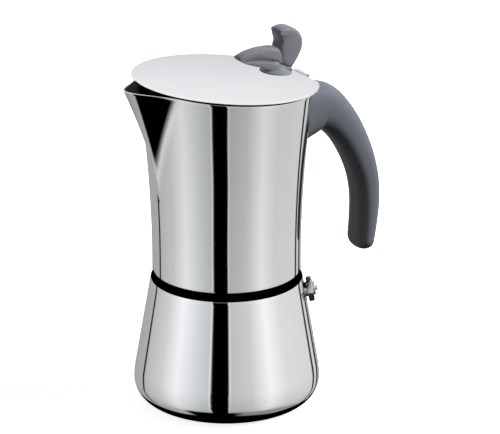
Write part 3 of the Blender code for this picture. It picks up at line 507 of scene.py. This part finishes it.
def make_jug():
    turns = jug_turns()
    low = JUG_FOOT + JUG_FOOT_ROUND
    centre = (WAIST_RADIUS - JUG_FOOT_ROUND, low)

    def flat_ring(radius, height):
        return [(radius * math.cos(turn), radius * math.sin(turn), height) for turn in turns]

    def wall_ring(inset, share, lift=0.0):
        ring = []
        for turn in turns:
            height = low + (rim_height(turn, inset) - low) * share + lift
            reach = jug_reach(height, turn, inset)
            ring.append((reach * math.cos(turn), reach * math.sin(turn), height))
        return ring

    def rim_ring(degrees, inner):
        """One ring of a rim edge's round, from 0 at the wall's face to 90 on top."""
        turn = math.radians(degrees)
        inset = LIP_ROUND * (1 - math.cos(turn))
        drop = LIP_ROUND * (1 - math.sin(turn))
        return wall_ring(JUG_WALL - inset if inner else inset, 1.0, -drop)

    rings = [flat_ring(r, z) for r, z in arc(centre, JUG_FOOT_ROUND, JUG_LIP, 0.0, 10)]
    rings += [wall_ring(0.0, step / JUG_ROWS) for step in range(1, JUG_ROWS)]
    rings += [rim_ring(degrees, False) for degrees in (0, 30, 60, 90)]
    rings += [rim_ring(degrees, True) for degrees in (90, 60, 30, 0)]
    outside = len(rings) - 1
    rings += [wall_ring(JUG_WALL, step / JUG_ROWS) for step in range(JUG_ROWS - 1, 2, -3)]
    rings += [flat_ring(r, z) for r, z in arc(centre, JUG_FOOT_ROUND - JUG_WALL, 0.0, JUG_LIP, 4)]
    body = make_object("jug_body", skin(rings, closed=True), POLISHED, "jug", ["jug_shell"])
    # the inner faces take the darker steel: painted shade
    body.data.materials.append(INSIDE_PAINTED_SHADE)
    for polygon in body.data.polygons:
        if polygon.index // len(turns) >= outside:
            polygon.material_index = 1


# ---------------------------------------------------------------- lid

def rim_place():
    """The rim's plane, with its origin on the pot's axis."""
    return Matrix.Translation((0, 0, RIM_Z)) @ Matrix.Rotation(RIM_SLOPE, 4, "Y")


def dome(radius):
    """Height of the lid's top above the rim's plane."""
    return LID_GAP + LID_SHEET + LID_DOME * (1 - (radius / LID_RADIUS) ** 2)


def lid_edge(turn):
    """Distance from the lid's middle to its edge: a circle with a straight chord at the hinge."""
    chord = LID_CHORD - LID_SHIFT
    across = math.cos(turn)
    if across > 0 and LID_RADIUS * across > chord:
        return chord / across
    return LID_RADIUS


def make_lid():
    segments = 360
    turns = [math.tau * step / segments for step in range(segments)]

    def disc_ring(reach_of, lower):
        points = []
        for turn in turns:
            reach = reach_of(lid_edge(turn))
            points.append((reach * math.cos(turn), reach * math.sin(turn), dome(reach) - lower))
        return points

    def ring(inset, lower):
        return disc_ring(lambda edge: edge - inset, lower)

    def scaled_ring(share, lower=0.0):
        return disc_ring(lambda edge: (edge - 1.5 * LID_ROUND) * share, lower)

    top = [[(0.0, 0.0, dome(0.0))]]
    top += [scaled_ring(share / 16) for share in range(1, 17)]
    rolled = []
    for angle in range(75, -1, -15):
        inset = LID_ROUND - LID_ROUND * math.cos(math.radians(angle))
        drop = LID_ROUND - LID_ROUND * math.sin(math.radians(angle))
        rolled.append(ring(inset, drop))
    lower_edge = 0.2 * MM
    rolled.append(ring(0.0, LID_SHEET - lower_edge))
    rolled.append(ring(lower_edge, LID_SHEET))
    under = [scaled_ring(share / 8, LID_SHEET) for share in (7.8, 6, 4, 2)]
    under.append([(0.0, 0.0, dome(0.0) - LID_SHEET)])
    place = rim_place() @ Matrix.Translation((LID_SHIFT, 0, 0))
    lid = skin(top + rolled + under, capped=False, place=place)
    make_object("lid_disc", lid, SATIN, "lid", ["lid_shell"])


# ---------------------------------------------------------------- handle

def grip_path():
    """Middle line of the grip as (x, z, root share), from inside its root to its free end."""
    root_z = BRACKET_TOP - 0.7 * MM - GRIP_ROOT / 2
    shares = [(-0.08, 0.0, 1.0), (0.12, -0.02, 0.79), (0.275, -0.025, 0.6), (0.46, 0.04, 0.37),
              (0.65, 0.158, 0.21), (0.795, 0.29, 0.11), (0.9, 0.42, 0.03), (0.97, 0.555, -0.05),
              (0.996, 0.7, -0.13), (0.98, 0.85, -0.22), (0.95, 0.98, -0.3)]
    drop = root_z - HANDLE_END
    return [(RIM_RADIUS + HANDLE_REACH * a, root_z - drop * b, share) for a, b, share in shares]


def grip_ring(middle, ahead, depth, width, sides=96):
    """A rounded section square to the path."""
    normal = Vector((-ahead[1], 0.0, ahead[0])).normalized()
    ring = []
    for side in range(sides):
        turn = math.tau * side / sides
        across = math.copysign(abs(math.cos(turn)) ** GRIP_SQUARE, math.cos(turn)) * width / 2
        outwards = math.copysign(abs(math.sin(turn)) ** GRIP_SQUARE, math.sin(turn)) * depth / 2
        ring.append(Vector((middle[0], across, middle[1])) + normal * outwards)
    return ring


def wall_distance(point):
    """How far the point stands off the grip's seat on the bracket."""
    seat = jug_radius(min(point.z, RIM_Z)) + BRACKET_GAP
    return point.x - math.sqrt(seat * seat - point.y * point.y)


def make_grip():
    path = catmull(grip_path(), 12)
    rings = []
    for index, point in enumerate(path):
        before, after = path[max(0, index - 1)], path[min(len(path) - 1, index + 1)]
        ahead = (after[0] - before[0], min(0.0, after[1] - before[1]))
        depth = HANDLE_DEPTH + (GRIP_ROOT - HANDLE_DEPTH) * point[2]
        width = HANDLE_WIDTH + (GRIP_ROOT_WIDTH - HANDLE_WIDTH) * max(0.0, point[2])
        ring = grip_ring(point, ahead, depth, width)
        stand = [wall_distance(corner) for corner in ring]
        if not rings:
            for corner, distance in zip(ring, stand):
                corner.x -= distance
        elif min(stand) < 0.5 * MM:
            continue
        rings.append(ring)
    end, before = path[-1], path[-2]
    down = Vector((end[0] - before[0], 0.0, end[1] - before[1])).normalized()
    depth = HANDLE_DEPTH + (GRIP_ROOT - HANDLE_DEPTH) * end[2]
    for angle in range(10, 90, 10):
        lift, share = math.sin(math.radians(angle)), math.cos(math.radians(angle)) ** GRIP_SQUARE
        spot = Vector((end[0], 0.0, end[1])) + down * (GRIP_END * lift)
        rings.append(grip_ring((spot.x, spot.z), (down.x, down.z), depth * share, HANDLE_WIDTH * share))
    tip = Vector((end[0], 0.0, end[1])) + down * GRIP_END
    rings.append([tip])
    make_object("grip_body", skin(rings), SOFT, "jug", ["handle_grip"], 70.0)


# ---------------------------------------------------------------- knob

def offset_outline(outline, inset):
    """The outline moved inwards by the inset, or by less where the body is narrow."""
    moved = []
    count = len(outline)
    points = [Vector(point) for point in outline]
    turning = sum(points[i].cross(points[(i + 1) % count]) for i in range(count))
    side = 1.0 if turning > 0 else -1.0
    for index, point in enumerate(points):
        along = (points[(index + 2) % count] - points[index - 2]).normalized()
        inward = side * Vector((-along.y, along.x))
        across = [(other - point).length for other in points
                  if (other - point).dot(inward) > 0.7 * (other - point).length > 0.0]
        reach = min(inset, NARROW_SHARE * min(across, default=0.0))
        moved.append(point + inward * reach)
    return [tuple(point) for point in moved]


def pillow(mesh_data, shares, half_width, edge, taper=0.0, steps=8):
    """A flat-sided body with rounded edges through a smooth side outline, added to the bmesh."""
    line = catmull(shares + shares[:1], steps)[:-1]
    outline = [(KNOB_REACH + KNOB_FOOT * a, LID_GAP + LID_SHEET + KNOB_HEIGHT * b) for a, b in line]
    rings = []
    turns = [-90, -68, -46, -23, 0, 23, 46, 68, 90]
    for turn in turns:
        angle = math.radians(turn)
        level = math.copysign(half_width - edge, turn) + edge * math.sin(angle) if turn else 0.0
        ring = []
        for x, h in offset_outline(outline, edge * (1 - math.cos(angle))):
            lean = 1 - taper * max(0.0, (KNOB_REACH - x) / (3.0 * KNOB_FOOT))
            ring.append(mesh_data.verts.new((x, level * lean, h)))
        rings.append(ring)
    for lower, upper in zip(rings, rings[1:]):
        bridge(mesh_data, lower, upper)
    for ring in (rings[0], rings[-1]):
        mesh_data.faces.new(ring)


def make_knob():
    made = bmesh.new()
    half = KNOB_WIDTH / 2
    fin = [(0.86, 0.135), (1.16, 0.27), (1.42, 0.44), (1.55, 0.6), (1.47, 0.77), (1.1, 0.92), (0.55, 1.0),
           (0.0, 0.99), (-0.3, 0.93), (-0.24, 0.82), (-0.12, 0.7), (-0.17, 0.58), (-0.1, 0.46),
           (-0.05, 0.34), (0.15, 0.22), (0.5, 0.14)]
    pillow(made, fin, half, 2.6 * MM)
    leaf = [(0.1, 0.5), (-0.2, 0.575), (-1.06, 0.585), (-1.98, 0.54), (-2.68, 0.46), (-2.86, 0.385),
            (-2.62, 0.325), (-2.13, 0.335), (-1.18, 0.325), (-0.24, 0.27), (0.25, 0.25), (0.3, 0.36)]
    pillow(made, leaf, half * 0.93, 2.4 * MM, taper=0.3)
    keel = [(0.9, 0.13), (0.66, 0.165), (-0.24, 0.25), (-1.18, 0.305), (-2.13, 0.32), (-2.5, 0.305),
            (-1.98, 0.25), (-1.2, 0.185), (-0.6, 0.12), (0.2, 0.06), (0.8, 0.08)]
    pillow(made, keel, half, 0.5 * MM, taper=0.3)
    made.transform(rim_place())
    fall = math.atan(2 * LID_DOME * KNOB_REACH / LID_RADIUS ** 2)
    seat = rim_place() @ Matrix.Translation((KNOB_REACH, 0, dome(KNOB_REACH)))
    seat = seat @ Matrix.Rotation(fall, 4, "Y")
    foot = KNOB_FOOT
    profile = [(0.0, 0.3 * MM), (foot - 0.4 * MM, 0.3 * MM), (foot - 0.1 * MM, 0.45 * MM), (foot, 0.75 * MM),
               (0.97 * foot, 1.1 * MM), (0.86 * foot, 1.7 * MM), (0.74 * foot, 2.6 * MM),
               (0.64 * foot, 3.8 * MM), (0.55 * foot, 4.6 * MM), (0.0, 4.6 * MM)]
    pedestal = turned(catmull(profile[1:-1], 4), 120, seat)
    mesh = bpy.data.meshes.new("pedestal")
    pedestal.to_mesh(mesh)
    pedestal.free()
    made.from_mesh(mesh)
    bpy.data.meshes.remove(mesh)
    lever = make_object("knob_lever", made, GLOSS, "lid", ["lid_knob"], 50.0)
    lever.visible_glossy = False
    for name in ("knob_screw", "knob_washer"):
        nodes[name].visible_glossy = False


# ---------------------------------------------------------------- carried-over CAD nodes

def dress_frame():
    """Gives every CAD node its finish."""
    slots = {part["node"]: part["material_slot"] for part in frame["record"]["subparts"]}
    for name, piece in nodes.items():
        finish = FINISHES[slots[name]]
        for holder in piece.material_slots:
            holder.material = finish


# ---------------------------------------------------------------- studio

CAMERA_PLACE = (-0.87556, -1.45718, 0.712)
CAMERA_TURN = (math.radians(90 - 19.733), 0.0, math.radians(-31.423))
CAMERA_LENS = 244.08
CAMERA_BEARING = math.atan2(CAMERA_PLACE[1], CAMERA_PLACE[0])

FLOOR_RADIUS = 6.0
FLOOR_GLOW = 0.85
KEY_BEARING = math.radians(88.0)  # from the camera's bearing, to the picture's right
KEY_RISE = math.radians(38.0)
KEY_DISTANCE = 1.2
KEY_WATTS = 60.0

# The tent's sheets: bearing in degrees (0 towards the camera, + to the picture's right), level, warmth
SHEETS = [
    (-180, 0.42, -0.03), (-128, 0.5, -0.03), (-126.5, 0.0, 0.0), (-123.5, 0.0, 0.0), (-122, 0.55, 0.0),
    (-90, 0.68, 0.01), (-65, 0.97, -0.01), (-38, 0.7, -0.02), (-23, 0.58, -0.04), (-20.5, 0.95, 0.0),
    (-19.5, 0.0, 0.0), (2.0, 0.0, 0.0), (3.0, 0.8, 0.0), (5.5, 0.54, -0.01), (30, 0.63, 0.0),
    (55, 0.98, -0.01), (80, 0.78, 0.0), (131, 0.78, 0.0), (133, 0.0, 0.0), (137, 0.0, 0.0),
    (139, 0.8, 0.0), (146, 0.7, 0.0), (148, 0.0, 0.0), (153, 0.0, 0.0), (155, 0.5, -0.03),
    (180, 0.42, -0.03)]
# The same for the table in front of them
TABLE = [(-180, 0.3, 0.0), (-110, 0.5, 0.0), (-66, 0.6, 0.0), (-58, 0.0, 0.0), (12, 0.0, 0.0),
         (30, 0.35, 0.0), (90, 0.4, 0.0), (180, 0.3, 0.0)]
# Sines of the elevations between which one layer gives way to the next
DARK_BELOW = (-0.9, -0.84)
TABLE_BELOW = (-0.7, -0.62)
SHEETS_START = (-0.62, -0.3)
SHEETS_SHADED = (-0.6, 0.0)
ROOF_START = (0.05, 0.3)
SHADE_LOW = (0.74, 0.74, 0.72, 1.0)
SHADE_HIGH = (1.12, 1.12, 1.13, 1.0)
ROOF = (1.0, 1.0, 1.01, 1.0)
BLACK = (0.0, 0.0, 0.0, 1.0)
WHITE = (1.0, 1.0, 1.0, 1.0)
AMBIENT = 0.25  # what plain surfaces get from the tent


def make_camera():
    data = bpy.data.cameras.new("camera")
    data.lens = CAMERA_LENS
    data.sensor_width = 36.0
    made = bpy.data.objects.new("camera", data)
    made.location = CAMERA_PLACE
    made.rotation_euler = CAMERA_TURN
    bpy.context.scene.collection.objects.link(made)
    bpy.context.scene.camera = made


def stage_disc(name, radius, height):
    """A flat disc of the studio's, which isn't part of the pot."""
    made = bmesh.new()
    bmesh.ops.create_circle(made, cap_ends=True, segments=96, radius=radius)
    made.transform(Matrix.Translation((0, 0, height)))
    mesh = bpy.data.meshes.new(name)
    made.to_mesh(mesh)
    made.free()
    disc = bpy.data.objects.new(name, mesh)
    bpy.context.scene.collection.objects.link(disc)
    material = bpy.data.materials.new(name)
    material.use_nodes = True
    mesh.materials.append(material)
    return disc, material.node_tree.nodes["Principled BSDF"]


def make_floor():
    """A pale floor that glows a little, and the dark that the base and the joint see under themselves."""
    floor, shader = stage_disc("floor", FLOOR_RADIUS, 0.0)
    shader.inputs["Base Color"].default_value = (0.5, 0.5, 0.5, 1.0)
    shader.inputs["Roughness"].default_value = 0.9
    shader.inputs["Specular IOR Level"].default_value = 0.0
    shader.inputs["Emission Color"].default_value = WHITE
    shader.inputs["Emission Strength"].default_value = FLOOR_GLOW
    floor.visible_glossy = False
    floor.visible_diffuse = False
    for name, radius, height in (("base_shadow", BELLY_RADIUS + 1.0 * MM, 0.1 * MM),
                                 ("joint_shadow", TOP_RADIUS + 3.8 * MM, SHOULDER_Z + 0.15 * MM)):
        under, shader = stage_disc(name, radius, height)
        shader.inputs["Base Color"].default_value = BLACK
        shader.inputs["Specular IOR Level"].default_value = 0.0
        under.visible_camera = False
        under.visible_diffuse = False
        under.visible_shadow = False


def make_key():
    """A large soft light high on the right, which shapes the dark plastic."""
    data = bpy.data.lights.new("key", "AREA")
    data.shape = "DISK"
    data.size = 0.7
    data.energy = KEY_WATTS
    data.color = (0.93, 0.96, 1.0)
    key = bpy.data.objects.new("key", data)
    bearing = CAMERA_BEARING + KEY_BEARING
    level = math.cos(KEY_RISE)
    place = Vector((math.cos(bearing) * level, math.sin(bearing) * level, math.sin(KEY_RISE)))
    key.location = place * KEY_DISTANCE + Vector((0.0, 0.0, 0.12))
    key.rotation_euler = place.to_track_quat("Z", "Y").to_euler()
    key.visible_glossy = False
    key.visible_camera = False
    bpy.context.scene.collection.objects.link(key)


def studio_ramp(tree, factor, stops):
    """A colour ramp round the compass."""
    ramp = tree.nodes.new("ShaderNodeValToRGB")
    ramp.color_ramp.interpolation = "LINEAR"
    elements = ramp.color_ramp.elements
    elements.remove(elements[0])
    for index, (degrees, level, warmth) in enumerate(stops):
        place = (degrees + 180.0) / 360.0
        element = elements.new(place) if index else elements[0]
        element.position = place
        element.color = (level * (1 + warmth), level, level * (1 - warmth), 1.0)
    tree.links.new(factor, ramp.inputs["Fac"])
    return ramp.outputs["Color"]


def make_world():
    """A light tent: pale sheets either side of the gap that the camera looks through, dark joins.

    Only reflections see it. The camera sees plain white, and plain surfaces get an even light.
    """
    world = bpy.data.worlds.new("studio")
    bpy.context.scene.world = world
    world.use_nodes = True
    tree = world.node_tree
    tree.nodes.clear()

    def node(kind, **settings):
        made = tree.nodes.new(kind)
        for key, value in settings.items():
            setattr(made, key, value)
        return made

    def math_node(operation, first, second=None, clamp=False):
        made = node("ShaderNodeMath", operation=operation, use_clamp=clamp)
        for socket, value in zip(made.inputs, (first, second)):
            if value is None:
                continue
            if isinstance(value, (int, float)):
                socket.default_value = value
            else:
                tree.links.new(value, socket)
        return made.outputs[0]

    where = node("ShaderNodeTexCoord").outputs["Generated"]
    turn = node("ShaderNodeMapping", vector_type="POINT")
    turn.inputs["Rotation"].default_value = (0.0, 0.0, -CAMERA_BEARING)
    tree.links.new(where, turn.inputs["Vector"])
    apart = node("ShaderNodeSeparateXYZ")
    tree.links.new(turn.outputs[0], apart.inputs[0])
    # azimuth: 0 towards the camera, positive to the picture's right
    azimuth = math_node("ARCTAN2", apart.outputs["Y"], apart.outputs["X"])
    azimuth = math_node("ADD", math_node("MULTIPLY", azimuth, 1 / math.tau), 0.5)
    height = apart.outputs["Z"]
    wave = node("ShaderNodeTexNoise")
    wave.noise_dimensions = "1D"
    wave.inputs["Scale"].default_value = 9.0
    wave.inputs["Detail"].default_value = 1.0
    tree.links.new(height, wave.inputs["W"])
    wobble = math_node("MULTIPLY", math_node("SUBTRACT", wave.outputs["Fac"], 0.5), 0.006)
    azimuth = math_node("ADD", azimuth, wobble)

    low = studio_ramp(tree, azimuth, SHEETS)
    deep = studio_ramp(tree, azimuth, TABLE)
    shader = node("ShaderNodeBackground")

    def blend(factor, first, second):
        mixed = node("ShaderNodeMix", data_type="RGBA")
        tree.links.new(factor, mixed.inputs["Factor"])
        for socket, value in (("A", first), ("B", second)):
            if isinstance(value, tuple):
                mixed.inputs[socket].default_value = value
            else:
                tree.links.new(value, mixed.inputs[socket])
        return mixed.outputs["Result"]

    def rising(start, end):
        """0 below the first height and 1 above the second."""
        scaled_height = math_node("SUBTRACT", height, start)
        return math_node("MULTIPLY", scaled_height, 1 / (end - start), clamp=True)

    # the sheets darken and warm towards the table, give way to it, and end below in the dark
    low = blend(rising(*SHEETS_START), blend(rising(*TABLE_BELOW), deep, low), low)
    shaded = node("ShaderNodeMix", data_type="RGBA", blend_type="MULTIPLY")
    shaded.inputs["Factor"].default_value = 1.0
    tree.links.new(low, shaded.inputs["A"])
    tree.links.new(blend(rising(*SHEETS_SHADED), SHADE_LOW, SHADE_HIGH), shaded.inputs["B"])
    low = blend(rising(*ROOF_START), shaded.outputs["Result"], ROOF)
    low = blend(rising(*DARK_BELOW), BLACK, low)
    tree.links.new(low, shader.inputs["Color"])

    plain = node("ShaderNodeBackground")
    plain.inputs["Color"].default_value = WHITE
    even = node("ShaderNodeBackground")
    even.inputs["Color"].default_value = WHITE
    even.inputs["Strength"].default_value = AMBIENT
    path = node("ShaderNodeLightPath")
    first = node("ShaderNodeMixShader")
    tree.links.new(path.outputs["Is Glossy Ray"], first.inputs[0])
    tree.links.new(even.outputs[0], first.inputs[1])
    tree.links.new(shader.outputs[0], first.inputs[2])
    second = node("ShaderNodeMixShader")
    tree.links.new(path.outputs["Is Camera Ray"], second.inputs[0])
    tree.links.new(first.outputs[0], second.inputs[1])
    tree.links.new(plain.outputs[0], second.inputs[2])
    output = node("ShaderNodeOutputWorld")
    tree.links.new(second.outputs[0], output.inputs["Surface"])


make_boiler()
make_valve()
make_jug()
make_lid()
make_grip()
make_knob()
dress_frame()
make_camera()
make_floor()
make_key()
make_world()
bpy.context.scene.view_settings.view_transform = "Standard"
